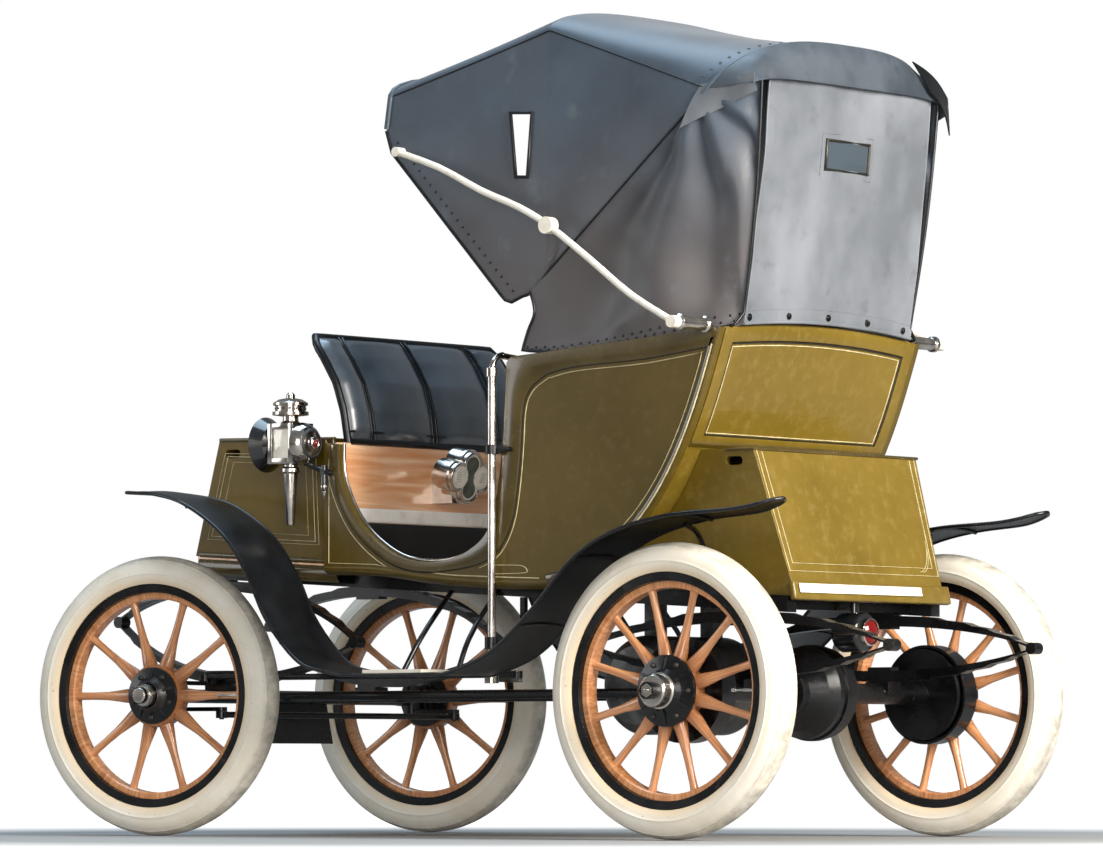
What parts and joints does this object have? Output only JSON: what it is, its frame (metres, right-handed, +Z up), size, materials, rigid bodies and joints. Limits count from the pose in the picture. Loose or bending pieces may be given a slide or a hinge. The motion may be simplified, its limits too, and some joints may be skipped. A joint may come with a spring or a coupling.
{
  "type": "electric phaeton",
  "caption": "Early electric phaeton with wooden spoked wheels, tiller steering, battery boxes front and rear, and a folding leather hood over one bench seat.",
  "frame": {"origin": "on the ground below the middle of the vehicle", "axes": "+X towards the front of the vehicle, +Y to its left, +Z up"},
  "size_m": [2.8593, 1.5126, 2.347],
  "materials": {
    "body_paint": "gloss",
    "varnished_wood": "gloss",
    "leather": "satin",
    "ivory_paint": "satin",
    "nickel": "polished",
    "black_paint": "gloss",
    "motor_case": "satin",
    "battery_case": "matte",
    "tyre_rubber": "matte"
  },
  "bodies": {
    "chassis": {"tub_sides": "body_paint", "rear_panel": "body_paint", "floor_boards": "varnished_wood", "front_box": "body_paint", "rear_box": "body_paint", "dash": "leather", "toe_board": "varnished_wood", "seat_box": "body_paint", "seat_cushion": "leather", "seat_back": "leather", "hood_sides": "leather", "hood_top": "leather", "rear_curtain": "leather", "hood_bows": "varnished_wood", "hood_irons": "ivory_paint", "prop_rollers": "nickel", "fenders": "black_paint", "step_pads": "ivory_paint", "lamps": "black_paint", "tail_lamp": "black_paint", "meter": "nickel", "frame_rails": "black_paint", "front_axle": "black_paint", "front_springs": "black_paint", "rear_axle": "black_paint", "rear_springs": "black_paint", "motor": "motor_case", "batteries": "battery_case", "tiller_brackets": "black_paint"},
    "knuckle_left": {"knuckle_left": "black_paint"},
    "knuckle_right": {"knuckle_right": "black_paint"},
    "tie_rod": {"tie_rod": "black_paint"},
    "drag_link": {"drag_link": "black_paint"},
    "tiller": {"tiller": "nickel"},
    "wheel_front_left": {"tyre_front_left": "tyre_rubber", "wood_front_left": "varnished_wood", "iron_front_left": "black_paint"},
    "wheel_front_right": {"tyre_front_right": "tyre_rubber", "wood_front_right": "varnished_wood", "iron_front_right": "black_paint"},
    "wheel_rear_left": {"tyre_rear_left": "tyre_rubber", "wood_rear_left": "varnished_wood", "iron_rear_left": "black_paint"},
    "wheel_rear_right": {"tyre_rear_right": "tyre_rubber", "wood_rear_right": "varnished_wood", "iron_rear_right": "black_paint"}
  },
  "joints": [
    {"name": "steer_left", "type": "hinge", "parent": "chassis", "child": "knuckle_left", "pos_m": [1.002, 0.53, 0.4065], "axis": [0, 0, 1], "range_deg": [-33.7, 16.3]},
    {"name": "steer_right", "type": "hinge", "parent": "chassis", "child": "knuckle_right", "pos_m": [1.002, -0.53, 0.4065], "axis": [0, 0, 1], "range_deg": [-33.7, 16.3]},
    {"name": "tie_rod_pivot", "type": "hinge", "parent": "knuckle_left", "child": "tie_rod", "pos_m": [0.85373, 0.50731, 0.351], "axis": [0, 0, 1], "range_deg": [-16.3, 33.7]},
    {"name": "drag_link_pivot", "type": "hinge", "parent": "knuckle_left", "child": "drag_link", "pos_m": [1.02318, 0.39161, 0.461], "axis": [0, 0, 1], "range_deg": [-16.3, 33.7]},
    {"name": "tiller_turn", "type": "hinge", "parent": "chassis", "child": "tiller", "pos_m": [-0.145, 0.49, 0.9], "axis": [0, 0, 1], "range_deg": [-33.7, 16.3]},
    {"name": "spin_front_left", "type": "hinge", "parent": "knuckle_left", "child": "wheel_front_left", "pos_m": [0.98612, 0.63379, 0.4065], "axis": [-0.1513, 0.9885, 0], "continuous": true},
    {"name": "spin_front_right", "type": "hinge", "parent": "knuckle_right", "child": "wheel_front_right", "pos_m": [1.01788, -0.63379, 0.4065], "axis": [-0.1513, 0.9885, 0], "continuous": true},
    {"name": "spin_rear_left", "type": "hinge", "parent": "chassis", "child": "wheel_rear_left", "pos_m": [-0.902, 0.635, 0.4065], "axis": [0, 1, 0], "continuous": true},
    {"name": "spin_rear_right", "type": "hinge", "parent": "chassis", "child": "wheel_rear_right", "pos_m": [-0.902, -0.635, 0.4065], "axis": [0, 1, 0], "continuous": true}
  ],
  "couplings": [
    {"joint": "steer_right", "follows": "steer_left", "ratio": 1},
    {"joint": "tie_rod_pivot", "follows": "steer_left", "ratio": -1},
    {"joint": "drag_link_pivot", "follows": "steer_left", "ratio": -1},
    {"joint": "tiller_turn", "follows": "steer_left", "ratio": 1}
  ]
}
